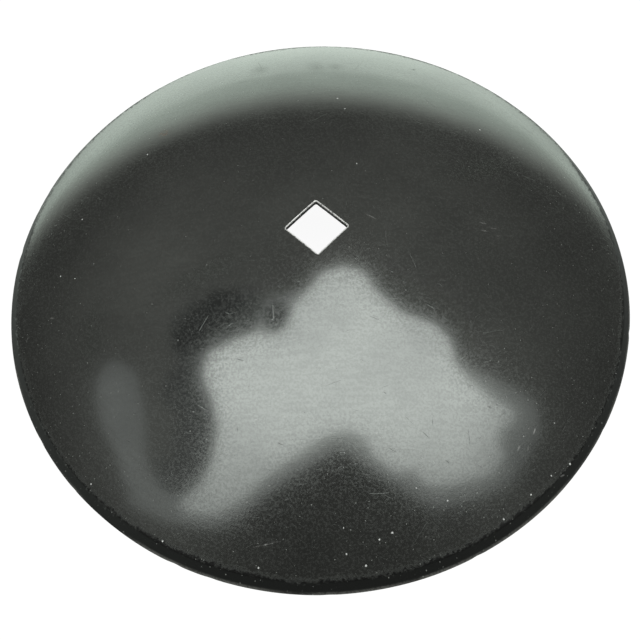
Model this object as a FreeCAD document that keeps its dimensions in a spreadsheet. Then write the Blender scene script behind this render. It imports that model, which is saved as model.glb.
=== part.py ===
"""Plain harrow disc blade: one dished round of hardened steel plate, ground sharp along its rim and
punched with a square hole that the gang shaft drives.

The blade lies as it comes to rest, hollow side down. Millimetres. The origin is the centre of the rim
circle, on the surface that the rim stands on, and +Z runs up through the shaft hole to the crown.
"""
import FreeCAD, Part
import math
import os

import Sketcher

NODE = "disc_blade"

# Every driving dimension, once: the cell's alias, its value and what it is.
SIZES = (
    ("blade_diameter", 610.0, "across the cutting edge"),
    ("plate_thickness", 6.0, "steel plate that the blade is pressed from"),
    ("dish_depth", 92.0, "hollow side, from the rim plane up to the crown"),
    ("edge_land", 1.5, "blunt width left along the cutting edge"),
    ("bevel_width", 14.0, "ground face on the crown side, measured down its slope"),
    ("shaft_hole", 40.0, "across the flats of the square hole"),
    ("hole_corner", 1.5, "radius in the corners of the square hole"),
    ("crown_lip", 1.0, "edge break where the punch went in"),
    ("hollow_lip", 0.4, "edge break where the punch came out"),
)


def make_sheet(doc):
    """Write the driving dimensions into a spreadsheet, one named cell to each."""
    sheet = doc.addObject("Spreadsheet::Sheet", "sizes")
    for row, (name, value, note) in enumerate(SIZES, start=1):
        sheet.set(f"A{row}", name)
        sheet.set(f"B{row}", str(value))
        sheet.set(f"C{row}", note)
        sheet.setAlias(f"B{row}", name)
    doc.recompute()
    return sheet


def origin_plane(body, role):
    """The body's own origin plane with this role."""
    return next(item for item in body.Origin.OriginFeatures if item.Role == role)


def new_sketch(body, name, role):
    sketch = body.newObject("Sketcher::SketchObject", name)
    sketch.AttachmentSupport = (origin_plane(body, role), "")
    sketch.MapMode = "FlatFace"
    return sketch


def bind(sketch, constraint, expression):
    """Add a dimension to a sketch and tie it to the spreadsheet."""
    index = sketch.addConstraint(constraint)
    sketch.setExpression(f"Constraints[{index}]", expression)
    return index


def rim_guess(sheet):
    """Starting points for the meridian sketch: two concentric arcs, a land square to them, a bevel."""
    half = sheet.blade_diameter / 2
    depth, plate, land = sheet.dish_depth, sheet.plate_thickness, sheet.edge_land
    foot = half
    for _ in range(20):                       # the land leans out, so the foot circle is a little smaller
        radius = (foot**2 + depth**2) / (2 * depth)
        foot = half * radius / (radius + land)
    centre = FreeCAD.Vector(0, depth - radius, 0)
    rim_angle = math.asin(foot / radius)
    bevel_angle = rim_angle - math.sqrt(sheet.bevel_width**2 - (plate - land)**2) / (radius + plate)

    def on_arc(reach, angle):
        return centre + FreeCAD.Vector(reach * math.sin(angle), reach * math.cos(angle), 0)

    return {
        "centre": centre, "radius": radius, "rim_angle": rim_angle, "bevel_angle": bevel_angle,
        "foot": on_arc(radius, rim_angle), "edge": on_arc(radius + land, rim_angle),
        "shoulder": on_arc(radius + plate, bevel_angle),
        "hollow_top": FreeCAD.Vector(0, depth, 0), "crown_top": FreeCAD.Vector(0, depth + plate, 0),
    }


def draw_meridian(body, sheet):
    """Half a section through the blade: hollow arc, land, ground bevel, crown arc, centre line."""
    sketch = new_sketch(body, "meridian", "XZ_Plane")
    at = rim_guess(sheet)
    up = math.pi / 2

    def arc(radius, angle):
        circle = Part.Circle(at["centre"], FreeCAD.Vector(0, 0, 1), radius)
        return Part.ArcOfCircle(circle, up - angle, up)

    hollow = sketch.addGeometry(arc(at["radius"], at["rim_angle"]))
    land = sketch.addGeometry(Part.LineSegment(at["foot"], at["edge"]))
    bevel = sketch.addGeometry(Part.LineSegment(at["edge"], at["shoulder"]))
    crown = sketch.addGeometry(arc(at["radius"] + sheet.plate_thickness, at["bevel_angle"]))
    middle = sketch.addGeometry(Part.LineSegment(at["crown_top"], at["hollow_top"]))

    start, end, centre = 1, 2, 3
    axis_x, axis_y, origin = -1, -2, (-1, 1)
    join = Sketcher.Constraint
    sketch.addConstraint([
        join("Coincident", hollow, start, land, start),
        join("Coincident", land, end, bevel, start),
        join("Coincident", bevel, end, crown, start),
        join("Coincident", crown, end, middle, start),
        join("Coincident", middle, end, hollow, end),
        join("Coincident", hollow, centre, crown, centre),
        join("PointOnObject", hollow, centre, axis_y),      # the dish is round about the shaft
        join("PointOnObject", hollow, end, axis_y),
        join("PointOnObject", crown, end, axis_y),
        join("PointOnObject", hollow, start, axis_x),       # the foot stands on the ground plane
        join("PointOnObject", hollow, centre, land),        # the land is square to the plate
    ])
    bind(sketch, join("DistanceX", *origin, land, end, at["edge"].x), "sizes.blade_diameter / 2")
    bind(sketch, join("DistanceY", *origin, hollow, end, at["hollow_top"].y), "sizes.dish_depth")
    bind(sketch, join("Distance", middle, sheet.plate_thickness), "sizes.plate_thickness")
    bind(sketch, join("Distance", land, sheet.edge_land), "sizes.edge_land")
    bind(sketch, join("Distance", bevel, sheet.bevel_width), "sizes.bevel_width")
    return sketch


def spin_dish(body, doc, meridian):
    """Turn the section right round the shaft axis."""
    dish = body.newObject("PartDesign::Revolution", "dish")
    dish.Profile = meridian
    dish.ReferenceAxis = (meridian, ["V_Axis"])
    dish.Angle = 360
    meridian.Visibility = False
    doc.recompute()
    return dish


def draw_square(body, sheet):
    """The shaft hole's outline: a square on the shaft axis, sides along X and Y, with round corners."""
    sketch = new_sketch(body, "shaft_square", "XY_Plane")
    half, corner = sheet.shaft_hole / 2, sheet.hole_corner
    straight = half - corner
    sides, corners = [], []
    for quarter in range(4):
        turn = FreeCAD.Rotation(FreeCAD.Vector(0, 0, 1), 90 * quarter)
        start = turn.multVec(FreeCAD.Vector(half, -straight, 0))
        end = turn.multVec(FreeCAD.Vector(half, straight, 0))
        centre = turn.multVec(FreeCAD.Vector(straight, straight, 0))
        circle = Part.Circle(centre, FreeCAD.Vector(0, 0, 1), corner)
        first = math.radians(90 * quarter)
        sides.append(sketch.addGeometry(Part.LineSegment(start, end)))
        corners.append(sketch.addGeometry(Part.ArcOfCircle(circle, first, first + math.pi / 2)))

    start, end = 1, 2
    axis_x, origin = -1, (-1, 1)
    join = Sketcher.Constraint
    for quarter in range(4):
        after = (quarter + 1) % 4
        sketch.addConstraint(join("Tangent", sides[quarter], end, corners[quarter], start))
        sketch.addConstraint(join("Tangent", corners[quarter], end, sides[after], start))
        sketch.addConstraint(join("Vertical" if quarter % 2 == 0 else "Horizontal", sides[quarter]))
        if quarter:
            sketch.addConstraint(join("Equal", corners[0], corners[quarter]))
    bind(sketch, join("Radius", corners[0], corner), "sizes.hole_corner")
    # each side lies half a hole from the shaft axis
    bind(sketch, join("DistanceX", *origin, sides[0], end, half), "sizes.shaft_hole / 2")
    bind(sketch, join("DistanceY", *origin, sides[1], end, half), "sizes.shaft_hole / 2")
    bind(sketch, join("DistanceX", sides[2], end, *origin, half), "sizes.shaft_hole / 2")
    bind(sketch, join("DistanceY", sides[3], end, *origin, half), "sizes.shaft_hole / 2")
    return sketch


def punch_hole(body, doc, sheet, dish):
    """Punch the square through the crown, from the ground plane up, and check that it cut the plate."""
    square = draw_square(body, sheet)
    hole = body.newObject("PartDesign::Pocket", "shaft_hole_cut")
    hole.Profile = square
    hole.Reversed = True                      # the plate lies above the sketch
    hole.Type = "ThroughAll"
    square.Visibility = False
    doc.recompute()
    opening = Part.Face(Part.Wire(Part.__sortEdges__(square.Shape.Edges))).Area
    removed = dish.Shape.Volume - hole.Shape.Volume
    expected = opening * sheet.plate_thickness
    if not 0.98 * expected < removed < 1.02 * expected:
        raise RuntimeError(f"the shaft hole removed {removed:.0f} mm3, not about {expected:.0f}")
    return hole


def hole_rim_edges(sheet, hole):
    """Names of the edges round the hole's mouth, on the crown side and on the hollow side."""
    reach = sheet.shaft_hole / 2 + 0.01
    mid_plate = sheet.dish_depth + sheet.plate_thickness / 2
    crown, hollow = [], []
    for number, edge in enumerate(hole.Shape.Edges, start=1):
        box = edge.BoundBox
        outermost = max(-box.XMin, box.XMax, -box.YMin, box.YMax)
        if outermost > reach or box.ZLength > sheet.plate_thickness / 2:
            continue                          # an edge of the rim, or one that runs down a wall
        (crown if box.Center.z > mid_plate else hollow).append(f"Edge{number}")
    return crown, hollow


def break_edge(body, doc, base, name, edges, size_name):
    """Chamfer the named edges of the feature before."""
    chamfer = body.newObject("PartDesign::Chamfer", name)
    chamfer.Base = (base, edges)
    chamfer.setExpression("Size", f"sizes.{size_name}")
    doc.recompute()
    if not chamfer.Shape.Volume < base.Shape.Volume:
        raise RuntimeError(f"{name} cut nothing")
    return chamfer


def make_blade(doc, sheet):
    body = doc.addObject("PartDesign::Body", NODE)
    body.Label = NODE
    dish = spin_dish(body, doc, draw_meridian(body, sheet))
    hole = punch_hole(body, doc, sheet, dish)
    crown_edges, _ = hole_rim_edges(sheet, hole)
    upper = break_edge(body, doc, hole, "crown_side_lip", crown_edges, "crown_lip")
    _, hollow_edges = hole_rim_edges(sheet, upper)
    break_edge(body, doc, upper, "hollow_side_lip", hollow_edges, "hollow_lip")
    doc.recompute()
    return body


def check(doc, body):
    """Stop before anything is written if a feature failed or the blade isn't one sound solid."""
    for item in doc.Objects:
        if {"Invalid", "Error"} & set(item.State):
            raise RuntimeError(f"{item.Name} failed: {item.State}")
    shape = body.Shape
    if shape.isNull() or not shape.isValid() or len(shape.Solids) != 1:
        raise RuntimeError(f"{body.Label} is not one valid solid")


def main():
    doc = FreeCAD.newDocument("harrow_disc")
    sheet = make_sheet(doc)
    blade = make_blade(doc, sheet)
    check(doc, blade)
    box = blade.Shape.BoundBox
    print(f"{blade.Label}: {box.XLength:.2f} x {box.YLength:.2f} x {box.ZLength:.2f} mm, "
          f"lowest point at {box.ZMin:.3f}, {blade.Shape.Volume / 1000:.1f} cm3, "
          f"{len(blade.Shape.Faces)} faces")
    os.makedirs("parts", exist_ok=True)
    blade.Shape.exportStep(f"parts/{blade.Label}.step")


main()
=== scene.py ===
# %% [markdown]
# # A harrow disc blade
#
# The blade is one dished round of steel, a little over 600 mm across and 6 mm thick, pressed hot,
# hardened, ground sharp round the rim and punched with a square hole for the gang shaft.
# It lies on its rim with the hollow side down.
#
# Everything here is in metres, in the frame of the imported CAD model: the rim stands on z = 0 and
# the shaft axis is the z axis. The CAD solid gives the size; this script gives the blade its skin.

# %% Load the CAD frame and note its size
import math
from types import SimpleNamespace

import bpy
import numpy as np
from mathutils import Matrix, Vector


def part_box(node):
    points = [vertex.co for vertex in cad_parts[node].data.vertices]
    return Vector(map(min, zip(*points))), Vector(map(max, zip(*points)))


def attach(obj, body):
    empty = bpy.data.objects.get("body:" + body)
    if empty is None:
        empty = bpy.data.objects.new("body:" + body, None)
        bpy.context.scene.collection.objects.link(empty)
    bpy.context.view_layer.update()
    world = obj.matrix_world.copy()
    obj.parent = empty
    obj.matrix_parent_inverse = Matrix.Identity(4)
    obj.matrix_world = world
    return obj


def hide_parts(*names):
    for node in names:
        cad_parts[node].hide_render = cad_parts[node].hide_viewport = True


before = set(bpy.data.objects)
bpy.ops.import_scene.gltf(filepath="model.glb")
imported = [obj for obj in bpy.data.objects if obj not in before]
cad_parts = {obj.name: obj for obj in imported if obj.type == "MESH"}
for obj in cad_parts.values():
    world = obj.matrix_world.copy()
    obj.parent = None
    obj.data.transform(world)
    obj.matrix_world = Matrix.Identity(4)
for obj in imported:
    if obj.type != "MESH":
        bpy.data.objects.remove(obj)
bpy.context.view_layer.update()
NODE = "disc_blade"
low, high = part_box(NODE)
print("CAD box, metres:", [round(v, 4) for v in (*low, *high)])

# %% [markdown]
# ## The sizes that the skin follows
#
# The diameter comes from the CAD box. The rest are the sizes that a blade of this class is made to.
# The plate is a shell between two concentric spheres, so one radius and one centre height
# describe both faces. The land, the blunt width along the cutting edge, stands square to the plate,
# so the foot circle that the blade stands on is a little smaller than the cutting edge.

# %% Sizes of the blade
RIM_RADIUS = (high.x - low.x) / 2
PLATE = 0.006            # thickness of the steel
DISH_DEPTH = 0.092       # from the rim plane up to the crown, on the hollow side
LAND = 0.0015            # blunt width along the cutting edge
BEVEL = 0.014            # ground face, down its slope
HOLE_HALF = 0.0200       # half the square hole, across the flats
HOLE_CORNER = 0.0015     # radius in its corners
CROWN_LIP = 0.0010       # rounding where the punch went in
HOLLOW_LIP = 0.0004      # the same where it came out


def shell_of(rim, depth, land):
    """Radius of the hollow sphere, height of its centre, and radius of the foot circle.

    A cap of base f and height d lies on a sphere of radius (f*f + d*d) / (2*d). The land leans out
    with the plate, so f is the rim times radius / (radius + land): a few rounds settle both.
    """
    foot = rim
    for _ in range(20):
        radius = (foot**2 + depth**2) / (2 * depth)
        foot = rim * radius / (radius + land)
    return radius, depth - radius, foot


HOLLOW_RADIUS, CENTRE_Z, FOOT = shell_of(RIM_RADIUS, DISH_DEPTH, LAND)
CROWN_RADIUS = HOLLOW_RADIUS + PLATE
RIM_ANGLE = math.asin(FOOT / HOLLOW_RADIUS)
SHOULDER_ANGLE = RIM_ANGLE - math.sqrt(BEVEL**2 - (PLATE - LAND)**2) / CROWN_RADIUS
print(f"hollow sphere {HOLLOW_RADIUS:.4f} m, plate leans {math.degrees(RIM_ANGLE):.1f} degrees at the rim")

# %% [markdown]
# ## The skin as one grid
#
# A blade with a hole through it has the topology of a ring, so one grid covers it with no seam and
# no pole: the columns go round the shaft axis, and the rows go out over the crown, down the bevel,
# under the edge, back up the hollow side and through the wall of the hole to where they began.
# Near the hole a row has to be a square and near the rim a circle. Both lie on the same sphere,
# so it is enough to blend the radius of a row from one to the other and read the height off the
# sphere.

# %% The square hole in polar form, and the two spheres
COLUMNS = 720
turn = np.linspace(0, 2 * np.pi, COLUMNS, endpoint=False)


def square_reach(grow):
    """Distance from the axis to the hole's outline, grown outwards by `grow`, for every column.

    The direction is folded into an eighth of the square. On a flat the reach is half / cos. In a
    corner it is the far root of the ray with the corner's circle, centred on (m, m).
    """
    fold = np.abs((turn + np.pi / 4) % (np.pi / 2) - np.pi / 4)
    half, corner, middle = HOLE_HALF + grow, HOLE_CORNER + grow, HOLE_HALF - HOLE_CORNER
    on_flat = half * np.tan(fold) <= middle
    across = middle * (np.cos(fold) - np.sin(fold))
    root = np.sqrt(np.maximum(corner**2 - across**2, 0))
    return np.where(on_flat, half / np.cos(fold), middle * (np.cos(fold) + np.sin(fold)) + root)


def sphere_z(reach, radius):
    """Height of a sphere about the dish's centre at this distance from the axis."""
    return CENTRE_Z + np.sqrt(radius**2 - reach**2)


def arc_point(radius, angle):
    """(distance from the axis, height) at this angle off the axis, on a sphere of this radius."""
    return np.array([radius * math.sin(angle), CENTRE_Z + radius * math.cos(angle)])


print("hole across the flats, mm:", round(2000 * float(square_reach(0).min()), 2))

# %% [markdown]
# ## The crown side
#
# On the real blade a punch tears a square hole through the plate and rolls its lip over, and the crown
# runs out from there to the ground bevel. It could be a sphere with a hole cut in it, but the cut would
# leave long thin faces. Rows that change from a square to a circle on their way out keep every face tidy.

# %% Rows through the hole, over the crown and down to the shoulder
SHOULDER = arc_point(CROWN_RADIUS, SHOULDER_ANGLE)
EDGE = arc_point(HOLLOW_RADIUS + LAND, RIM_ANGLE)
HEEL = arc_point(HOLLOW_RADIUS, RIM_ANGLE)
SHOULDER_ROUND = 0.0012     # how far each way the shoulder's rounding reaches
EDGE_ROUND = 0.0003


def round_corner(before, corner, after, reach, count):
    """Points of a corner rounded off: a parabola between two points `reach` from the corner."""
    start = corner + (before - corner) / np.linalg.norm(before - corner) * reach
    end = corner + (after - corner) / np.linalg.norm(after - corner) * reach
    t = np.linspace(0, 1, count)[:, None]
    return (1 - t)**2 * start + 2 * t * (1 - t) * corner + t**2 * end


def spaced(count, near, crowding=1.0):
    """Shares from 0 to 1, both left out, with one more row close to each end.

    Shading is smoothed from row to row, so a face keeps its own shine right up to a rounding only
    if its last row lies close beside it.
    """
    middle = np.linspace(0, 1, count + 2)[1:-1] ** crowding
    return np.concatenate([[near], middle[middle > 2 * near], [1 - near]])[:, None]


def straight(start, end, count):
    """Points strictly between two points."""
    return start + (end - start) * spaced(count, 0.02)


def full_turn(points):
    """A ring for each (distance, height) point: the same all the way round."""
    shape = (len(points), COLUMNS)
    return np.broadcast_to(points[:, :1], shape), np.broadcast_to(points[:, 1:], shape)


def lip_rows(sphere, radius, up, flare, count):
    """A quarter round from the wall of the hole out onto a face, as rows of (distance, height).

    At angle a the row has grown by radius * (1 - cos a) and lies radius * (1 - sin a) inside the face.
    """
    rows = []
    for a in np.linspace(0, np.pi / 2, count):
        reach = square_reach(flare + radius * (1 - math.cos(a))) - RAGGED * math.cos(a)
        rows.append((reach, sphere_z(reach, sphere) - up * radius * (1 - math.sin(a))))
    return np.array([r for r, _ in rows]), np.array([z for _, z in rows])


def face_rows(sphere, inner, outer, count, crowding):
    """Rows from the outline round the hole out to a circle, crowded towards the hole."""
    reach = inner + (outer - inner) * spaced(count, 0.001, crowding)
    return reach, sphere_z(reach, sphere)


CROWN_ROWS, HOLLOW_ROWS, BEVEL_ROWS, WALL_ROWS = 46, 38, 9, 7
CROWDING = 1.25             # above 1 the rows of a face draw together towards the hole
tear = np.sin(23 * turn + 0.6) * np.sin(41 * turn) + 0.6 * np.sin(97 * turn + 2)
RAGGED = 0.00013 * np.maximum(tear, -0.3)      # how unevenly the punch tore the lip
crown_lip = lip_rows(CROWN_RADIUS, CROWN_LIP, 1, 0, 6)
before_shoulder = arc_point(CROWN_RADIUS, SHOULDER_ANGLE - SHOULDER_ROUND / CROWN_RADIUS)
crown = face_rows(CROWN_RADIUS, crown_lip[0][-1], before_shoulder[0], CROWN_ROWS, CROWDING)
shoulder = round_corner(before_shoulder, SHOULDER, EDGE, SHOULDER_ROUND, 5)
edge = round_corner(SHOULDER, EDGE, HEEL, EDGE_ROUND, 4)
bevel = straight(shoulder[-1], edge[0], BEVEL_ROWS)
print("rows so far:", len(crown_lip[0]) + len(crown[0]) + len(shoulder) + len(bevel) + len(edge))

# %% [markdown]
# ## The edge, the hollow and the wall
#
# The edge is left blunt, and the hollow side is the same dish one plate thickness further in. It could
# be a second skin, but the two would have to be sewn together. Here the same rows go on under the edge
# and back up, so the skin closes on itself in the hole and has no seam that could gape.

# %% Rows under the edge, up the hollow side and back through the wall
FLARE = 0.0003              # the lower half of a punched wall breaks away a little wider
hollow_lip = lip_rows(HOLLOW_RADIUS, HOLLOW_LIP, -1, FLARE, 4)
inside = arc_point(HOLLOW_RADIUS, RIM_ANGLE - 4 * EDGE_ROUND / HOLLOW_RADIUS)
heel = round_corner(EDGE, HEEL, inside, EDGE_ROUND, 4)
hollow = face_rows(HOLLOW_RADIUS, hollow_lip[0][-1], inside[0], HOLLOW_ROWS, CROWDING)

wall_t = np.linspace(0, 1, WALL_ROWS + 2)[1:-1, None]
wall_reach = hollow_lip[0][0] + (crown_lip[0][0] - hollow_lip[0][0]) * np.minimum(wall_t * 1.6, 1)
wall_z = hollow_lip[1][0] + (crown_lip[1][0] - hollow_lip[1][0]) * wall_t

# each section: its rows, then whether it is crown side, lip of the hole, and worn or sheared edge
sections = [
    (crown_lip, 1, 1, 0), (crown, 1, 0, 0), (full_turn(shoulder), 1, 0, 0),
    (full_turn(bevel), 1, 0, 0), (full_turn(edge), 1, 0, 1), (full_turn(heel), 0, 0, 1),
    ((hollow[0][::-1], hollow[1][::-1]), 0, 0, 0),
    ((hollow_lip[0][::-1], hollow_lip[1][::-1]), 0, 0, 0),
    ((wall_reach, wall_z), 0, 0.25, 1),
]
reach = np.vstack([rows[0] for rows, *_ in sections])
height = np.vstack([rows[1] for rows, *_ in sections])
marks = np.vstack([np.tile([*mark], (len(rows[0]), 1)) for rows, *mark in sections]).astype(float)
bevel_row = sum(len(rows[0]) for rows, *_ in sections[:3])
down_bevel = spaced(BEVEL_ROWS, 0.02)[:, 0]
last_quarter = np.clip(down_bevel * 3.5 - 2.5, 0, 1)           # only this much of the bevel wears
marks[bevel_row:bevel_row + len(bevel), 2] = last_quarter
ROWS = len(reach)
print(f"grid of {ROWS} rows and {COLUMNS} columns, {2 * ROWS * COLUMNS} triangles")

# %% [markdown]
# ## What the press and the field did to it
#
# A plate this size never comes off the press and out of the quench as a true sphere: it waves by a
# few tenths of a millimetre over a hand's width, and a glossy finish shows that at once as a wobble in
# the reflections. One smooth function of x and y moves both faces together, so the plate keeps its
# thickness, and it fades out towards the rim, which stands flat. The cutting edge wanders a little
# and has a few small nicks.

# %% Press waves and edge nicks
rng = np.random.default_rng(24)
PRESS_WAVE = 0.0005         # highest to lowest
WAVE_COUNT = 9
TRUE_RIM = 0.018            # this much of the plate in from the edge has no wave
WAVE_FADE = 0.05            # and over this much more it grows to its full height
NICKS = 16


def press_wave(x, y):
    """Height change, never above zero: the mean of sine waves of random heading and 90 to 260 mm long."""
    heading = rng.uniform(0, 2 * np.pi, WAVE_COUNT)[:, None, None]
    length = rng.uniform(0.09, 0.26, WAVE_COUNT)[:, None, None]
    phase = rng.uniform(0, 2 * np.pi, WAVE_COUNT)[:, None, None]
    along = x * np.cos(heading) + y * np.sin(heading)
    wave = np.sin(2 * np.pi * along / length + phase).mean(axis=0) * 1.6
    inward = np.clip((RIM_RADIUS - TRUE_RIM - np.hypot(x, y)) / WAVE_FADE, 0, 1)
    return PRESS_WAVE * 0.5 * (np.clip(wave, -1, 1) - 1) * inward**2 * (3 - 2 * inward)


def edge_loss():
    """How far the cutting edge has worn in, for every column: a slow wander and a few sharp nicks."""
    wander = 0.00012 * (1 + np.sin(5 * turn + 1.3) * np.sin(11 * turn + 0.4))
    place = rng.uniform(0, 2 * np.pi, NICKS)[:, None]
    width = rng.uniform(0.002, 0.006, NICKS)[:, None] / RIM_RADIUS
    depth = rng.uniform(0.0002, 0.0006, NICKS)[:, None]
    away = np.abs((turn - place + np.pi) % (2 * np.pi) - np.pi)
    return wander + (depth * np.exp(-(away / width)**2)).sum(axis=0)


edge_row = sum(len(rows[0]) for rows, *_ in sections[:4])      # first row of the cutting edge
heel_row = edge_row + len(edge) + len(heel)                      # first row of the hollow side
row = np.arange(ROWS)
share = np.interp(row, [edge_row - len(bevel), edge_row, heel_row - 1, heel_row + 3], [0, 1, 1, 0])
reach = reach - (share**2)[:, None] * edge_loss()
x, y = reach * np.cos(turn), reach * np.sin(turn)
height = height + press_wave(x, y)
print(f"lowest {height.min() * 1000:.3f} mm, highest {height.max() * 1000:.3f} mm")
print(f"widest {reach.max() * 1000:.2f} mm")

# %% [markdown]
# ## From arrays to a mesh
#
# The four corner numbers of every face are worked out as whole arrays, with the last row and column
# joined to the first, and go into the mesh in one call each. Faces have to point out of the steel,
# and the sign of the volume that they enclose says whether they do. The UV map runs in metres, round
# the rim and along the section, so that a finish can follow the rim. Three marks per point say what
# is crown side, what is the lip of the hole, and what is cutting edge or sheared wall.

# %% Build the blade's mesh
def grid_faces(rows, columns):
    """Corner numbers of a grid that closes on itself both ways: row * columns + column."""
    r, c = np.meshgrid(np.arange(rows), np.arange(columns), indexing="ij")
    nr, nc = (r + 1) % rows, (c + 1) % columns
    corners = [r * columns + c, r * columns + nc, nr * columns + nc, nr * columns + c]
    return np.stack([k.ravel() for k in corners], axis=1)


def enclosed_volume(points, faces):
    """Sum of the tetrahedra from the origin to each half of each face."""
    a, b, c, d = (points[faces[:, k]] for k in range(4))
    return (np.einsum("ij,ij->i", a, np.cross(b, c)) + np.einsum("ij,ij->i", a, np.cross(c, d))).sum() / 6


def grid_mesh(name, points, faces, uv):
    """A smooth mesh of four-cornered faces, written in whole arrays."""
    mesh = bpy.data.meshes.new(name)
    mesh.vertices.add(len(points))
    mesh.vertices.foreach_set("co", points.astype(np.float32).ravel())
    mesh.loops.add(faces.size)
    mesh.loops.foreach_set("vertex_index", faces.astype(np.int32).ravel())
    mesh.polygons.add(len(faces))
    mesh.polygons.foreach_set("loop_start", np.arange(0, faces.size, 4, dtype=np.int32))
    mesh.update(calc_edges=True)
    mesh.uv_layers.new(name="rim_metres").data.foreach_set("uv", uv.astype(np.float32).ravel())
    mesh.shade_smooth()
    if mesh.validate():
        raise RuntimeError(f"{name} had faults")
    return mesh


points = np.stack([x, y, height], axis=-1).reshape(-1, 3)
faces = grid_faces(ROWS, COLUMNS)
step = np.hypot(np.diff(reach, axis=0, append=reach[:1]), np.diff(height, axis=0, append=height[:1]))
path = np.concatenate([[0], np.cumsum(step.mean(axis=1))])      # metres along the section
face_row, face_column = np.divmod(np.arange(len(faces)), COLUMNS)
spot = 2 * np.pi * RIM_RADIUS / COLUMNS
left, right = face_column * spot, (face_column + 1) * spot
uv = np.stack([
    np.stack([left, path[face_row]], 1), np.stack([right, path[face_row]], 1),
    np.stack([right, path[face_row + 1]], 1), np.stack([left, path[face_row + 1]], 1),
], axis=1)
if enclosed_volume(points, faces) < 0:
    faces, uv = faces[:, ::-1], uv[:, ::-1]

blade_mesh = grid_mesh("blade_skin", points, faces, uv)
for number, mark in enumerate(("crown", "lip", "edge")):
    values = np.repeat(marks[:, number], COLUMNS).astype(np.float32)
    blade_mesh.attributes.new(mark, "FLOAT", "POINT").data.foreach_set("value", values)
blade = bpy.data.objects.new("blade_skin", blade_mesh)
bpy.context.scene.collection.objects.link(blade)
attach(blade, "root")
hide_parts(NODE)
print(f"skin encloses {enclosed_volume(points, faces) * 1e6:.0f} cm3")

# %% [markdown]
# ## A check of the crown
#
# The skin is built on two spheres, so the solid it dresses has to lie on the same ones. Its size alone
# would not show a wrong dish. The distance of every corner from the sphere's centre does, and on whole
# arrays it takes one line.

# %% How well the CAD crown lies on the skin's sphere
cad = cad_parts[NODE].data
cad_points = np.empty(len(cad.vertices) * 3, np.float32)
cad.vertices.foreach_get("co", cad_points)
cad_points = cad_points.reshape(-1, 3).astype(float)
out = np.hypot(cad_points[:, 0], cad_points[:, 1])
from_centre = np.hypot(out, cad_points[:, 2] - CENTRE_Z)
on_crown = (np.abs(from_centre - CROWN_RADIUS) < 0.0005) & (out < SHOULDER[0] - 0.001)
print("CAD crown, distance off the crown sphere in mm, at most",
      round(1000 * float(np.abs(from_centre[on_crown] - CROWN_RADIUS).max()), 3))

# %% [markdown]
# ## Small tools for writing materials
#
# A material here is a net of nodes. One short function adds a node, sets it up and joins its inputs,
# so that each line of a material reads as one step. Inputs are given by name: a socket is linked and
# anything else is set on the node.

# %% Node helpers
def add(tree, kind, inputs=None, out=0, **settings):
    """Add a node and return one of its outputs."""
    node = tree.nodes.new(kind)
    for name, value in settings.items():
        setattr(node, name, value)
    for name, value in (inputs or {}).items():
        if isinstance(value, bpy.types.NodeSocket):
            tree.links.new(value, node.inputs[name])
        else:
            node.inputs[name].default_value = value
    return node.outputs[out]


def calc(tree, operation, first, second=0.0, clamp=False):
    """One step of arithmetic."""
    return add(tree, "ShaderNodeMath", {0: first, 1: second}, operation=operation, use_clamp=clamp)


def ramp(tree, value, start, end, low=0.0, high=1.0):
    """A smooth step: low before start, high after end."""
    inputs = {"Value": value, "From Min": start, "From Max": end, "To Min": low, "To Max": high}
    return add(tree, "ShaderNodeMapRange", inputs, interpolation_type="SMOOTHSTEP")


def blend(tree, share, first, second):
    """A colour between two colours."""
    inputs = {"Factor": share, "A": first, "B": second}
    return add(tree, "ShaderNodeMix", inputs, out="Result", data_type="RGBA", clamp_factor=True)


def fade(tree, share, first, second):
    """A number between two numbers."""
    node = tree.nodes.new("ShaderNodeMix")
    for socket, value in ((node.inputs["Factor"], share), (node.inputs[2], first), (node.inputs[3], second)):
        if isinstance(value, bpy.types.NodeSocket):
            tree.links.new(value, socket)
        else:
            socket.default_value = value
    return node.outputs[0]


def group(name, inputs, outputs):
    """An empty node group with named sockets; gives the group, what goes in and what comes out."""
    tree = bpy.data.node_groups.new(name, "ShaderNodeTree")
    for label, kind, value in inputs:
        socket = tree.interface.new_socket(label, in_out="INPUT", socket_type=kind)
        if value is not None:
            socket.default_value = value
    for label, kind in outputs:
        tree.interface.new_socket(label, in_out="OUTPUT", socket_type=kind)
    return tree, tree.nodes.new("NodeGroupInput").outputs, tree.nodes.new("NodeGroupOutput").inputs


def use(tree, which, inputs):
    """Place a node group and return its output."""
    return add(tree, "ShaderNodeGroup", inputs, node_tree=which)


def noise(tree, place, scale, detail, roughness=0.5):
    """A cloudy number around a half, with `scale` clouds to the metre."""
    inputs = {"Vector": place, "Scale": scale, "Detail": detail, "Roughness": roughness}
    return add(tree, "ShaderNodeTexNoise", inputs)


def part_along(tree, place, direction):
    """How far a place lies along a direction."""
    ends = {0: place, 1: tuple(direction)}
    return add(tree, "ShaderNodeVectorMath", ends, out="Value", operation="DOT_PRODUCT")


def distance(tree, place):
    """How far a place lies from the middle."""
    return add(tree, "ShaderNodeVectorMath", {0: place}, out="Value", operation="LENGTH")


FLOAT, VECTOR = "NodeSocketFloat", "NodeSocketVector"
print("node helpers ready")

# %% [markdown]
# ## Scratches and specks
#
# Both are made from cells: a Voronoi texture scatters points over the plate and tells every place
# which point is its nearest. Turned by a random angle about that point, a place is inside a scratch if
# it is close to one line through the point, and inside a speck if it is close to the point itself.
# The plate is shallow, so both are laid out on x and y, seen from above.

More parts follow.
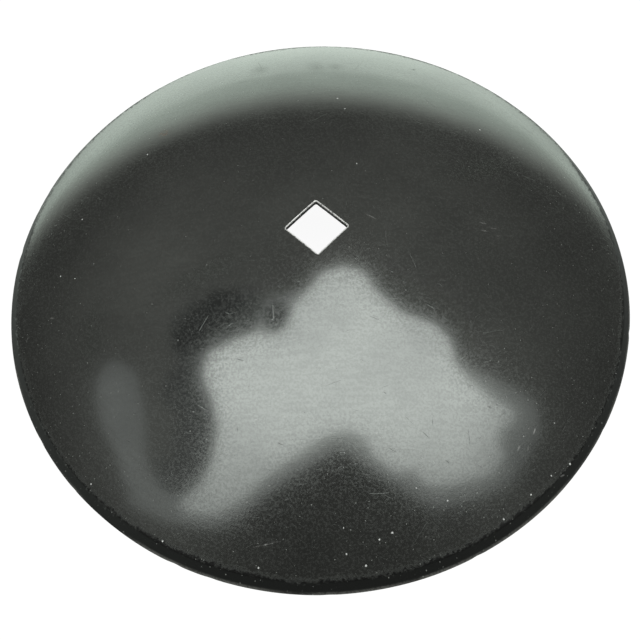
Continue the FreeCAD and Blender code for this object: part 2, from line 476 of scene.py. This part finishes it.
# %% Node group: scratches
def scratch_group():
    """A mask of short strokes, one to a cell at most, each turned its own way about its cell's point."""
    tree, given, result = group(
        "scratches",
        [("Vector", VECTOR, None), ("Per metre", FLOAT, 20.0), ("Share", FLOAT, 0.3),
         ("Length", FLOAT, 0.35), ("Width", FLOAT, 0.02), ("Heading", FLOAT, 0.0), ("Spread", FLOAT, 6.3)],
        [("Mask", FLOAT)])
    clouds = {"Vector": given["Vector"], "Scale": 25.0, "Detail": 1.0}
    wobble = add(tree, "ShaderNodeTexNoise", clouds, out="Color")
    bent = add(tree, "ShaderNodeVectorMath", {0: wobble, "Scale": 0.004}, operation="SCALE")
    moved = add(tree, "ShaderNodeVectorMath", {0: given["Vector"], 1: bent}, operation="ADD")
    place = add(tree, "ShaderNodeVectorMath", {0: moved, "Scale": given["Per metre"]}, operation="SCALE")
    cell = tree.nodes.new("ShaderNodeTexVoronoi")
    cell.voronoi_dimensions = "2D"
    cell.inputs["Scale"].default_value = 1.0
    tree.links.new(place, cell.inputs["Vector"])
    off = add(tree, "ShaderNodeVectorMath", {0: place, 1: cell.outputs["Position"]}, operation="SUBTRACT")
    chance = tree.nodes.new("ShaderNodeSeparateColor")
    tree.links.new(cell.outputs["Color"], chance.inputs[0])
    angle = calc(tree, "ADD", given["Heading"], calc(tree, "MULTIPLY", chance.outputs[0], given["Spread"]))
    turned = add(tree, "ShaderNodeVectorRotate", {"Vector": off, "Angle": angle}, rotation_type="Z_AXIS")
    parts = tree.nodes.new("ShaderNodeSeparateXYZ")
    tree.links.new(turned, parts.inputs[0])
    along = calc(tree, "ABSOLUTE", parts.outputs[0])
    across = calc(tree, "ABSOLUTE", parts.outputs[1])
    length = calc(tree, "MULTIPLY", given["Length"], chance.outputs[2])
    in_length = ramp(tree, calc(tree, "DIVIDE", along, length), 0.6, 1.0, 1.0, 0.0)
    in_width = ramp(tree, calc(tree, "DIVIDE", across, given["Width"]), 0.3, 1.0, 1.0, 0.0)
    chosen = calc(tree, "LESS_THAN", chance.outputs[1], given["Share"])
    mask = calc(tree, "MULTIPLY", calc(tree, "MULTIPLY", in_length, in_width), chosen)
    tree.links.new(mask, result["Mask"])
    return tree


SCRATCHES = scratch_group()
print("scratch group:", len(SCRATCHES.nodes), "nodes")

# %% [markdown]
# ## Specks
#
# Dust and grit lie on the lacquer as loose dots of every size. They could be small solids, but there are
# thousands, so each cell of the same kind of pattern holds one ragged dot or none.

# %% Node group: specks
def speck_group():
    """A mask of ragged specks, one to a cell at most, no two of one size."""
    tree, given, result = group(
        "specks",
        [("Vector", VECTOR, None), ("Per metre", FLOAT, 60.0), ("Share", FLOAT, 0.2), ("Size", FLOAT, 0.1)],
        [("Mask", FLOAT)])
    stretch = {0: given["Vector"], "Scale": given["Per metre"]}
    place = add(tree, "ShaderNodeVectorMath", stretch, operation="SCALE")
    ragged = add(tree, "ShaderNodeTexNoise", {"Vector": place, "Scale": 7.0, "Detail": 1.0}, out="Color")
    push = add(tree, "ShaderNodeVectorMath", {0: ragged, "Scale": 0.07}, operation="SCALE")
    moved = add(tree, "ShaderNodeVectorMath", {0: place, 1: push}, operation="ADD")
    cell = tree.nodes.new("ShaderNodeTexVoronoi")
    cell.voronoi_dimensions = "2D"
    cell.inputs["Scale"].default_value = 1.0
    tree.links.new(moved, cell.inputs["Vector"])
    chance = tree.nodes.new("ShaderNodeSeparateColor")
    tree.links.new(cell.outputs["Color"], chance.inputs[0])
    luck = calc(tree, "ADD", calc(tree, "POWER", chance.outputs[2], 2.0), 0.25)
    size = calc(tree, "MULTIPLY", given["Size"], luck)
    inside = ramp(tree, calc(tree, "DIVIDE", cell.outputs["Distance"], size), 0.5, 1.0, 1.0, 0.0)
    chosen = calc(tree, "LESS_THAN", chance.outputs[1], given["Share"])
    tree.links.new(calc(tree, "MULTIPLY", inside, chosen), result["Mask"])
    return tree


SPECKS = speck_group()
print("speck group:", len(SPECKS.nodes), "nodes")

# %% [markdown]
# ## Marks with a place of their own
#
# Most wear is scattered by chance, but a few knocks catch the eye, so they are set out one by one in
# millimetres to the right of the shaft axis and away from the camera. Each is a long thin ellipse. A
# Mapping node moves, turns and scales the ellipse to a circle of radius 1, so the distance from its
# middle says at once what lies inside.

# %% Tables of marks
# Each mark: right and away of one end, the same of the other end, and half its width.
CUTS = [
    (92, -168, 91, -184, 0.8), (122, -178, 123, -197, 0.8), (66, -170, 78, -181, 0.8),
    (80, -182, 90, -191, 1.0), (-73, -173, -74, -181, 0.8), (-44, -188, -33, -193, 0.8),
    (-41, -70, -40, -90, 0.9), (-76, -118, -65, -122, 0.7), (142, -162, 143, -163, 1.6),
    (149, -160, 150, -160, 1.2), (101, -206, 104, -208, 1.2), (50, -152, 54, -154, 1.0),
    (110, 238, 114, 240, 2.6), (-18, -166, -16, -168, 1.0),
]
BRIGHT = [
    (181, -182, 184, -176, 1.2), (165, -197, 168, -192, 1.2), (175, -196, 176, -192, 1.0),
    (150, 11, 158, 10, 0.7), (159, 6, 168, 6, 0.7), (151, 2, 159, 2, 0.7), (165, -2, 171, -1, 0.7),
    (43, 14, 56, 6, 0.7), (-66, -268, -38, -264, 0.8), (-254, -49, -248, -51, 1.1),
    (-279, -66, -277, -61, 1.0), (205, -214, 209, -212, 0.8),
]
SMUDGES = [
    (-56, 237, -54, 240, 16), (8, 231, 4, 240, 17), (24, 236, 28, 234, 13), (-150, -60, -60, -20, 22),
    (120, 60, 190, 90, 26), (-210, -120, -205, -40, 20),
]
RUST = [(-152, 144, -150, 145, 7)]
# Each nib, a lump of dirt under the lacquer: right, away and radius.
NIBS = [
    (215, -203, 1.2), (30, -285, 1.2), (-207, -205, 1.0), (-142, -257, 1.0), (-166, 117, 1.0),
    (26, 169, 1.2), (169, 136, 1.0), (40, 72, 0.9), (53, -261, 1.1), (42, -266, 1.0), (101, -237, 0.9),
    (-60, -283, 1.0), (14, -276, 0.9), (-229, 52, 0.9), (-246, -8, 0.9), (196, -214, 0.9),
    (176, -230, 1.0), (150, -250, 1.0),
]
print(len(CUTS) + len(BRIGHT) + len(NIBS) + len(SMUDGES) + len(RUST), "marks placed by hand")


MM = 1000                        # millimetres in a metre
FAR = 9.0                        # outside every mark


def marks_of(tree, place, table, core):
    """1 inside the nearest ellipse of a table and 0 outside, softening outwards from `core`."""
    nearest = FAR
    for right, away, to_right, to_away, width in table:
        half = math.hypot(to_right - right, to_away - away) / 2 + width
        heading = math.atan2(to_away - away, to_right - right)
        middle = ((right + to_right) / 2 / MM, (away + to_away) / 2 / MM, 0)
        inside = add(tree, "ShaderNodeMapping", {
            "Vector": place, "Location": middle, "Rotation": (0, 0, heading),
            "Scale": (half / MM, width / MM, 1)}, vector_type="TEXTURE")
        nearest = calc(tree, "MINIMUM", nearest, distance(tree, inside))
    return ramp(tree, nearest, core, 1.0, 1.0, 0.0)


def nibs_of(tree, place, table):
    """The same for round nibs: the distance to each is divided by its radius."""
    nearest = FAR
    for right, away, size in table:
        ends = {0: place, 1: (right / MM, away / MM, 0)}
        off = add(tree, "ShaderNodeVectorMath", ends, out="Value", operation="DISTANCE")
        nearest = calc(tree, "MINIMUM", nearest, calc(tree, "MULTIPLY", off, MM / size))
    return ramp(tree, nearest, 0.5, 1.0, 1.0, 0.0)


# %% [markdown]
# ## The finish
#
# Hot-pressed steel keeps a dark, even scale, and the maker dips it in a thin clear-black lacquer. Dark
# scale reflects about a sixth of the light straight on and far more at a glance, which is what makes the
# far rim so pale, so the scale is a dark metal and the lacquer a coat over it. The finish is broken by
# slow mottling, fine scratches that cut to brighter metal, a few greasy smudges, one spot of rust, a
# thin film of dust, and grit and dust that lie thickest towards the rim. The ground bevel was painted
# over its grinding marks: darker, rougher, hardly metallic. Its black is partly painted shade: it is darker
# than the paint itself, to stand for the dim floor that the near bevel mirrors, and it reaches a few
# millimetres up over the shoulder to darken the shoulder's highlight. The lip of the hole is knocked bare.

# %% Colours of the finish
SCALE_DARK = (0.135, 0.143, 0.136, 1)
SCALE_LIGHT = (0.172, 0.182, 0.172, 1)
SCALE_GRAIN = (0.085, 0.09, 0.085, 1)
SMEAR = (0.08, 0.09, 0.08, 1)
BARE_STEEL = (0.92, 0.92, 0.90, 1)
WORN_STEEL = (0.34, 0.34, 0.32, 1)
RUST_BROWN = (0.16, 0.085, 0.045, 1)
# painted shade: the bevel's black is made darker than paint is, to stand for the dim floor that the near
# bevel mirrors
BEVEL_PAINT_AND_SHADE = (0.003, 0.0033, 0.003, 1)
DUST = (0.50, 0.52, 0.49, 1)
GRIT = (0.85, 0.87, 0.85, 1)
ROLLED = math.radians(45)        # the plate was rolled along the camera's left and right
DIRT_BEGINS = 0.17               # grit and dust thicken outwards from this far off the axis
# the bevel's paint and its painted shade start 5 mm inside the shoulder, so they darken the shoulder's
# highlight
PAINT_AND_SHADE_BEGINS = SHOULDER[0] - 0.0050
PAINT_AND_SHADE_FULL = SHOULDER[0] + 0.0002
print(f"the bevel's paint begins {PAINT_AND_SHADE_BEGINS * 1000:.1f} mm off the axis")

# %% Patterns scattered over the plate
def lay_patterns(tree):
    """Every place, mark and chance pattern that the finish is mixed from, each from 0 to 1."""
    on = SimpleNamespace()
    place = add(tree, "ShaderNodeTexCoord", out="Object")
    on.crown = add(tree, "ShaderNodeAttribute", out="Fac", attribute_name="crown")
    on.lip = add(tree, "ShaderNodeAttribute", out="Fac", attribute_name="lip")
    on.edge = add(tree, "ShaderNodeAttribute", out="Fac", attribute_name="edge")
    on.flat = add(tree, "ShaderNodeVectorMath", {0: place, 1: (1, 1, 0)}, operation="MULTIPLY")
    on.out_from_axis = distance(tree, on.flat)
    on.rimward = ramp(tree, on.out_from_axis, DIRT_BEGINS, RIM_RADIUS)

    on.slow = noise(tree, place, 9.0, 4.0, 0.55)
    on.fine = noise(tree, place, 260.0, 2.0)
    on.grains = noise(tree, place, 480.0, 3.0, 0.65)
    turn_back = {"Vector": on.flat, "Angle": -ROLLED}
    on.rolled = add(tree, "ShaderNodeVectorRotate", turn_back, rotation_type="Z_AXIS")
    drawn = add(tree, "ShaderNodeVectorMath", {0: on.rolled, 1: (0.15, 1.0, 1.0)}, operation="MULTIPLY")
    on.streak = noise(tree, drawn, 240.0, 3.0, 0.6)
    on.scratch = use(tree, SCRATCHES, {
        "Vector": on.flat, "Per metre": 30.0, "Share": 0.25, "Length": 0.40, "Width": 0.012})
    on.hair = use(tree, SCRATCHES, {
        "Vector": on.rolled, "Per metre": 90.0, "Share": 0.40, "Length": 0.5, "Width": 0.035,
        "Heading": -0.7, "Spread": 1.4})
    on.fleck = use(tree, SCRATCHES, {
        "Vector": on.rolled, "Per metre": 230.0, "Share": 0.5, "Length": 0.45, "Width": 0.13,
        "Heading": -0.5, "Spread": 1.0})
    on.dust = use(tree, SPECKS, {
        "Vector": on.flat, "Per metre": 230.0, "Share": fade(tree, on.rimward, 0.03, 0.30), "Size": 0.12})
    on.grit = use(tree, SPECKS, {
        "Vector": on.flat, "Per metre": 46.0, "Share": fade(tree, on.rimward, 0.02, 0.14), "Size": 0.028})
    return on


# %% Marks laid over the patterns
def times(tree, first, second):
    """Two masks multiplied."""
    return calc(tree, "MULTIPLY", first, second)


def lay_marks(tree, on):
    """The marks with a place of their own, all on the crown side and broken up by fine noise."""
    broken_up = times(tree, ramp(tree, on.fine, 0.38, 0.56, 0.35, 1.0), on.crown)
    on.cut = times(tree, marks_of(tree, on.rolled, CUTS, 0.1), broken_up)
    on.bright = times(tree, marks_of(tree, on.rolled, BRIGHT, 0.1), broken_up)
    on.nib = times(tree, nibs_of(tree, on.rolled, NIBS), on.crown)
    uneven = ramp(tree, on.fine, 0.25, 0.75, 0.5, 1.0)
    on.smudge = times(tree, marks_of(tree, on.rolled, SMUDGES, 0.0), uneven)
    on.smudge = times(tree, on.smudge, on.crown)
    on.rust = times(tree, marks_of(tree, on.rolled, RUST, 0.0), ramp(tree, on.fine, 0.40, 0.60, 0.1, 0.8))
    on.rust = times(tree, on.rust, on.crown)


# %% The scale: its grain, its wear and where the bevel's paint and its painted shade cover it
def scale_tone(tree, on):
    """Colour of the scale. The grain runs with the rolling in the middle and round the axis at the rim."""
    tone = blend(tree, ramp(tree, on.slow, 0.35, 0.65), SCALE_DARK, SCALE_LIGHT)
    rings = add(tree, "ShaderNodeVectorMath", {0: (0, 0, 1), "Scale": on.out_from_axis}, operation="SCALE")
    stretch = {0: on.flat, 1: (0.08, 0.08, 0), 2: rings}
    rings = add(tree, "ShaderNodeVectorMath", stretch, operation="MULTIPLY_ADD")
    drag = fade(tree, on.rimward, on.streak, noise(tree, rings, 330.0, 3.0, 0.6))
    on.grain = calc(tree, "ADD", times(tree, on.grains, 0.6), times(tree, drag, 0.4))
    tone = blend(tree, ramp(tree, on.grain, 0.42, 0.58, 0.0, 0.30), tone, SCALE_GRAIN)
    tone = blend(tree, times(tree, on.smudge, 0.35), tone, SMEAR)
    return blend(tree, on.rust, tone, RUST_BROWN)


def wear(tree, on):
    """Strokes of every kind as one mask, and how deep the scattered ones are pressed."""
    worn = calc(tree, "ADD", times(tree, on.scratch, 0.5), times(tree, on.hair, 0.24), clamp=True)
    worn = calc(tree, "MAXIMUM", worn, times(tree, on.fleck, 0.13))
    on.pressed = times(tree, worn, -0.10)
    on.worn = calc(tree, "MAXIMUM", worn, times(tree, on.cut, 0.7))


def paint_and_shade_line(tree, on):
    """Where the bevel's paint and its painted shade lie: outside a circle that wanders with three sizes of
    noise.
    """
    wander = 0.0
    for pattern, sway in ((on.slow, 0.010), (on.fine, 0.008), (on.grains, 0.010)):
        wander = calc(tree, "ADD", wander, times(tree, calc(tree, "SUBTRACT", pattern, 0.5), sway))
    paint = ramp(tree, calc(tree, "ADD", on.out_from_axis, wander), PAINT_AND_SHADE_BEGINS, PAINT_AND_SHADE_FULL)
    on.paint = times(tree, paint, on.crown)


# %% Colour, metal, shine and relief
def full_tone(tree, on):
    """The scale's colour, then the bevel's paint with its painted shade, rubbed edge, bare steel, dust film,
    dust and grit over it.
    """
    tone = scale_tone(tree, on)
    wear(tree, on)
    paint_and_shade_line(tree, on)
    # painted shade: the near-black bevel colour stands for the dim floor mirrored in the near bevel
    tone = blend(tree, on.paint, tone, BEVEL_PAINT_AND_SHADE)
    rubbed = times(tree, on.edge, ramp(tree, on.slow, 0.42, 0.58, 0.0, 0.9))
    on.rubbed = times(tree, rubbed, ramp(tree, on.grains, 0.35, 0.55, 0.3, 1.0))
    tone = blend(tree, on.rubbed, tone, WORN_STEEL)
    bare = times(tree, on.lip, ramp(tree, on.fine, 0.30, 0.50, 0.5, 1.0))
    on.bare = calc(tree, "MAXIMUM", bare, times(tree, on.bright, 0.4))
    tone = blend(tree, on.bare, tone, BARE_STEEL)
    clear_of_paint_and_shade = calc(tree, "SUBTRACT", 1.0, on.paint)
    on.film = times(tree, ramp(tree, on.grains, 0.45, 0.60), times(tree, clear_of_paint_and_shade, 0.11))
    tone = blend(tree, times(tree, on.film, 0.4), tone, DUST)
    tone = blend(tree, times(tree, on.dust, 0.5), tone, DUST)
    on.lumps = on.grit
    on.grit = calc(tree, "MAXIMUM", on.grit, times(tree, on.nib, 0.8))
    return blend(tree, on.grit, tone, GRIT)


def metal_share(tree, on):
    """1 on clean scale, less where dust, grit, rust or paint covers it."""
    covered = calc(tree, "MAXIMUM", times(tree, on.dust, 0.4), on.grit)
    on.covered = calc(tree, "MAXIMUM", covered, calc(tree, "MAXIMUM", on.film, times(tree, on.rust, 0.7)))
    painted = calc(tree, "SUBTRACT", on.paint, on.rubbed, clamp=True)
    clean = calc(tree, "SUBTRACT", 1.0, on.covered)
    metal = times(tree, clean, calc(tree, "SUBTRACT", 1.0, painted))
    return fade(tree, on.bare, metal, 0.5)


def roughness(tree, on):
    """Near a mirror on the scale, duller with grain and smudges, dull where worn, painted or dusty."""
    rough = fade(tree, on.slow, 0.07, 0.125)
    rough = calc(tree, "ADD", rough, times(tree, on.grain, 0.06))
    rough = calc(tree, "ADD", rough, times(tree, on.smudge, 0.16))
    rough = fade(tree, on.worn, rough, 0.5)
    rough = fade(tree, ramp(tree, on.paint, 0.5, 1.0), rough, 0.36)
    rough = fade(tree, on.bare, rough, 0.30)
    return fade(tree, on.covered, rough, 0.8)


def lacquer(tree, on):
    """The coat is whole except where something has broken or covered it."""
    broken = calc(tree, "MAXIMUM", on.covered, calc(tree, "MAXIMUM", on.bare, on.paint))
    broken = calc(tree, "MAXIMUM", on.worn, broken)
    broken = calc(tree, "MAXIMUM", broken, times(tree, on.smudge, 0.35))
    return calc(tree, "SUBTRACT", 1.0, broken)


def relief(tree, on):
    """Grit stands up, scratches are pressed in, and the grain deepens towards the rim."""
    raised = calc(tree, "ADD", on.lumps, on.pressed)
    raised = calc(tree, "ADD", raised, times(tree, on.grain, fade(tree, on.rimward, 0.07, 0.20)))
    return add(tree, "ShaderNodeBump", {"Height": raised, "Distance": 0.0005, "Strength": 1.0})


# %% The blade's material
def blade_finish():
    """One Principled shader, fed by the mixes above."""
    material = bpy.data.materials.new("scale_and_lacquer")
    material.use_nodes = True
    tree = material.node_tree
    shader = tree.nodes["Principled BSDF"]
    on = lay_patterns(tree)
    lay_marks(tree, on)
    for mix, socket in ((full_tone, "Base Color"), (metal_share, "Metallic"), (roughness, "Roughness"),
                        (lacquer, "Coat Weight"), (relief, "Normal")):
        tree.links.new(mix(tree, on), shader.inputs[socket])
    shader.inputs["Coat Roughness"].default_value = 0.09
    return material


blade_mesh.materials.append(blade_finish())
print("finish:", len(blade_mesh.materials[0].node_tree.nodes), "nodes")

# %% [markdown]
# ## The studio
#
# The blade is seen from the front and well above, with one corner of its square hole towards the
# camera. All of the studio is laid out on two directions, one away from the camera and one to its right.

# %% The camera
AROUND = math.radians(45)        # the camera looks along a diagonal of the square hole
AWAY = Vector((-math.sin(AROUND), math.cos(AROUND), 0))
RIGHT = Vector((math.cos(AROUND), math.sin(AROUND), 0))
UP = Vector((0, 0, 1))
CAMERA_DISTANCE = 0.873          # from the centre of the rim circle
CAMERA_ELEVATION = math.radians(60.84)
AIM_NEAR = 0.0453                # the camera aims this far in front of that centre
AIM_LEFT = 0.0004                # and this far to its left
LENS = 49.12
ROLL = math.radians(2.3)


def stand(right, away, up):
    """A point in the studio, from its distances to the right, away from the camera and up."""
    return RIGHT * right + AWAY * away + UP * up


def make_camera():
    """The camera, aimed a little in front of the middle and rolled a little to its side."""
    data = bpy.data.cameras.new("camera")
    data.lens = LENS
    data.sensor_width = 36.0
    camera = bpy.data.objects.new("camera", data)
    bpy.context.scene.collection.objects.link(camera)
    camera.location = stand(
        0, -CAMERA_DISTANCE * math.cos(CAMERA_ELEVATION), CAMERA_DISTANCE * math.sin(CAMERA_ELEVATION))
    look = stand(-AIM_LEFT, -AIM_NEAR, 0) - camera.location
    level = look.to_track_quat("-Z", "Y").to_matrix()
    camera.rotation_euler = (level @ Matrix.Rotation(-ROLL, 3, "Z")).to_euler()
    bpy.context.scene.camera = camera
    return camera


camera = make_camera()
print("camera at", [round(v, 3) for v in camera.location])

# %% [markdown]
# ## Light
#
# The main light is a sheet of diffusion hung over the blade, cut round where the camera's stand
# would hang in it. It is drawn as what it is, a glowing sheet of an uneven outline. A dimmer, wider
# sheet just above it softens its rim, one more hangs at the side, and three flags darken the left.

# %% Outlines of the hanging sheets
# Each point: metres to the right of the shaft axis and away from the camera.
SHEET_HEIGHT = 1.8
MAIN_SHEET = [
    (0.05, 0.58), (0.22, 0.64), (0.38, 0.60), (0.46, 0.42), (0.66, 0.22), (0.98, 0.14), (1.14, 0.01),
    (1.20, -0.20), (1.39, -0.36), (1.70, -0.51), (2.10, -0.63), (2.10, -0.74), (1.86, -0.82),
    (1.90, -1.00), (2.04, -1.12), (1.92, -1.36), (1.30, -1.42), (0.98, -1.40), (0.84, -1.21),
    (0.64, -1.23), (0.44, -1.05), (0.34, -0.84), (0.20, -0.78), (0.02, -0.82), (-0.18, -0.96),
    (-0.50, -1.18), (-0.85, -1.46), (-1.20, -1.64), (-1.70, -1.62), (-1.58, -1.46), (-1.30, -1.28),
    (-1.12, -1.05), (-0.98, -0.72), (-0.99, -0.45), (-1.06, -0.22), (-1.00, -0.04), (-0.75, 0.03),
    (-0.50, 0.08), (-0.43, 0.03), (-0.28, 0.08), (-0.20, 0.28), (-0.08, 0.42),
]
HALO_SHEET = [
    (-0.70, 0.00), (-0.50, 0.34), (-0.20, 0.40), (0.40, 0.30), (1.20, -0.20), (2.50, -0.50),
    (2.70, -0.90), (2.30, -1.60), (1.20, -1.72), (0.85, -1.52), (0.50, -1.25), (0.14, -0.94),
    (-0.30, -1.22), (-0.70, -1.52), (-1.20, -1.82), (-2.00, -1.86), (-2.80, -1.70), (-2.60, -1.52),
    (-1.80, -1.42), (-1.30, -1.15), (-1.00, -0.20),
]
SIDE_SHEET = [
    (-2.85, 0.02), (-2.55, 0.18), (-2.20, 0.12), (-1.95, -0.10), (-1.90, -0.45), (-1.98, -0.80),
    (-2.02, -1.10), (-1.78, -1.46), (-2.30, -1.62), (-2.62, -1.40), (-2.60, -0.90), (-2.86, -0.55),
]
LEFT_FLAG = [
    (-0.46, 0.30), (-0.52, 0.46), (-0.74, 0.52), (-0.94, 0.40), (-1.12, 0.48), (-1.40, 0.38),
    (-1.42, 0.10), (-1.30, -0.05), (-1.52, -0.20), (-1.56, -0.45), (-1.40, -0.60), (-1.56, -0.78),
    (-1.55, -0.98), (-1.86, -1.08), (-1.84, -1.36), (-1.60, -1.44), (-1.00, -1.20), (-0.80, -0.20),
    (-0.55, 0.10),
]
DARK_FLAG = [
    (-1.06, 0.00), (-1.30, 0.02), (-1.38, 0.22), (-1.15, 0.36), (-0.92, 0.52), (-0.70, 0.48), (-0.62, 0.32),
    (-0.80, 0.18),
]
SMALL_FLAG = [(-0.47, 0.12), (-0.45, 0.27), (-0.35, 0.33), (-0.25, 0.27), (-0.25, 0.13), (-0.36, 0.05)]
print(len(MAIN_SHEET), "corners on the main sheet")

# %% Hang the sheets
SHEET_TINT = (0.965, 0.99, 0.975, 1)


def glow(name, strength, fades):
    """A glowing sheet, dimmer towards the camera and far out to the right where `fades` is above zero."""
    material = bpy.data.materials.new(name)
    material.use_nodes = True
    tree = material.node_tree
    tree.nodes.clear()
    place = add(tree, "ShaderNodeTexCoord", out="Object")
    near = ramp(tree, part_along(tree, place, -AWAY), 0.45, 1.5, 1.0, 1 - fades)
    out = ramp(tree, part_along(tree, place, RIGHT), 1.3, 2.2, 1.0, 1 - fades)
    kept = times(tree, near, out)
    shine = add(tree, "ShaderNodeEmission", {"Color": SHEET_TINT, "Strength": times(tree, kept, strength)})
    sink = tree.nodes.new("ShaderNodeOutputMaterial")
    tree.links.new(shine, sink.inputs["Surface"])
    return material


def hang_sheet(name, outline, strength, higher=0.0, fades=0.0):
    """One flat sheet of this outline; `higher` keeps it clear of the main sheet."""
    corners = [tuple(stand(right, away, SHEET_HEIGHT + higher)) for right, away in outline]
    mesh = bpy.data.meshes.new(name)
    mesh.from_pydata(corners, [], [list(range(len(corners)))])
    mesh.materials.append(glow(name, strength, fades))
    sheet = bpy.data.objects.new(name, mesh)
    bpy.context.scene.collection.objects.link(sheet)


hang_sheet("main_sheet", MAIN_SHEET, 2.4, fades=0.36)
hang_sheet("halo_sheet", HALO_SHEET, 0.74, higher=0.01, fades=0.24)
hang_sheet("side_sheet", SIDE_SHEET, 0.56, higher=0.02)
hang_sheet("left_flag", LEFT_FLAG, 0.19, higher=0.005)
hang_sheet("dark_flag", DARK_FLAG, 0.10, higher=-0.015)
hang_sheet("small_flag", SMALL_FLAG, 0.12, higher=-0.01)
print("sheets hung", SHEET_HEIGHT, "m up")

# %% [markdown]
# ## Floor and room
#
# The floor is white to the camera. It also catches a little real light, so the blade keeps a soft
# contact shadow. The room is dim overhead and white low down behind the blade, like a paper sweep, and
# that is what the polished plate mirrors. Under the dish the floor lies in the dark.

# %% The floor
WHITE = (1, 1, 1, 1)
PAPER_TINT = (0.88, 1.0, 0.90, 1)     # the sweep as the steel mirrors it, a little green
PAPER_GREY = (0.14, 0.14, 0.14, 1)    # what the floor gives back of real light, for its shadow
PAPER_SHOWN = 0.94                    # white to the camera, short of full by what real light adds
SWEEP_GLOW = 1.15                     # the far floor in a mirror
NEAR_GLOW = (0.12, 0.2)               # the near floor in a mirror, right and left
FLOOR_HALF = 8.0


def mirror_ray(path_info):
    """The two outputs that say whether a ray has left metal or glass."""
    return path_info.outputs["Is Glossy Ray"], path_info.outputs["Is Transmission Ray"]


def floor_paper():
    """White to the camera; in a mirror bright far off, dim near by and dark under the dish."""
    material = bpy.data.materials.new("floor_paper")
    material.use_nodes = True
    tree = material.node_tree
    tree.nodes.clear()
    place = add(tree, "ShaderNodeTexCoord", out="Object")
    path_info = tree.nodes.new("ShaderNodeLightPath")
    near = ramp(tree, part_along(tree, place, -RIGHT), 0.0, 0.3, *NEAR_GLOW)
    sweep = fade(tree, ramp(tree, part_along(tree, place, AWAY), -0.05, 0.40), near, SWEEP_GLOW)
    sweep = times(tree, sweep, ramp(tree, distance(tree, place), 0.29, 0.31, 0.1, 1.0))
    mirrored = times(tree, sweep, calc(tree, "MAXIMUM", *mirror_ray(path_info)))
    seen = times(tree, path_info.outputs["Is Camera Ray"], PAPER_SHOWN)
    tint = blend(tree, path_info.outputs["Is Camera Ray"], PAPER_TINT, WHITE)
    shine = add(tree, "ShaderNodeEmission", {"Color": tint, "Strength": calc(tree, "ADD", mirrored, seen)})
    paper = add(tree, "ShaderNodeBsdfDiffuse", {"Color": PAPER_GREY})
    both = add(tree, "ShaderNodeAddShader", {0: shine, 1: paper})
    sink = tree.nodes.new("ShaderNodeOutputMaterial")
    tree.links.new(both, sink.inputs["Surface"])
    return material


def lay_floor():
    """A square of paper at the height of the rim."""
    corners = [(x * FLOOR_HALF, y * FLOOR_HALF, 0) for x, y in ((-1, -1), (1, -1), (1, 1), (-1, 1))]
    mesh = bpy.data.meshes.new("floor")
    mesh.from_pydata(corners, [], [(0, 1, 2, 3)])
    mesh.materials.append(floor_paper())
    floor = bpy.data.objects.new("floor", mesh)
    bpy.context.scene.collection.objects.link(floor)


lay_floor()
print("floor", 2 * FLOOR_HALF, "m across")

# %% [markdown]
# ## The room
#
# Whatever hangs over the blade is mirrored in it, and so is the rest of the room: a white sweep low down
# behind it, which gives the pale crescent, and dim walls. A picture of a room could be wrapped round the
# scene. A few ramps over the direction of view do as much and say what each part is.

# %% The room
WARM = (1, 1, 0.95, 1)           # the room's own light, a little warm
ROOM_LIGHT = 0.45                # what falls on everything from all round
PAPER_GLOW = 0.98                # the sweep behind the blade, in a mirror
LOW_GLOW = 0.12                  # the walls, in a mirror
FRONT_GLOW = 0.11                # the dark side, behind the camera


def make_room():
    """White to the camera; in a mirror a dim room with a white sweep low down behind the blade."""
    world = bpy.data.worlds.new("room")
    bpy.context.scene.world = world
    world.use_nodes = True
    tree = world.node_tree
    tree.nodes.clear()
    heading = add(tree, "ShaderNodeTexCoord", out="Generated")
    level = add(tree, "ShaderNodeVectorMath", {0: heading, 1: (1, 1, 0)}, operation="MULTIPLY")
    # 1 behind the blade, -1 behind the camera
    facing = calc(tree, "DIVIDE", part_along(tree, heading, AWAY), distance(tree, level))
    up = part_along(tree, heading, UP)
    left = part_along(tree, heading, -RIGHT)
    top = calc(tree, "ADD", times(tree, facing, 0.62), -0.42)                # the sweep's upper rim
    paper = ramp(tree, calc(tree, "SUBTRACT", top, up), -0.16, 0.10)
    leftward = ramp(tree, left, 0.1, 0.7, 0.195, 0.25)
    ceiling = calc(tree, "ADD", leftward, ramp(tree, up, 0.6, 0.85, 0.0, 0.05))
    dim = fade(tree, ramp(tree, up, 0.20, 0.65), LOW_GLOW, ceiling)
    dim = fade(tree, ramp(tree, facing, -1.0, -0.5), FRONT_GLOW, dim)
    path_info = tree.nodes.new("ShaderNodeLightPath")
    glossy = calc(tree, "MAXIMUM", *mirror_ray(path_info))
    strength = fade(tree, glossy, ROOM_LIGHT, fade(tree, paper, dim, PAPER_GLOW))
    strength = fade(tree, path_info.outputs["Is Camera Ray"], strength, 1.0)
    tint = blend(tree, times(tree, paper, glossy), WARM, PAPER_TINT)
    tint = blend(tree, path_info.outputs["Is Camera Ray"], tint, WHITE)
    sky = add(tree, "ShaderNodeBackground", {"Color": tint, "Strength": strength})
    sink = tree.nodes.new("ShaderNodeOutputWorld")
    tree.links.new(sky, sink.inputs["Surface"])


make_room()
bpy.context.scene.view_settings.view_transform = "Standard"
print("room light", ROOM_LIGHT)
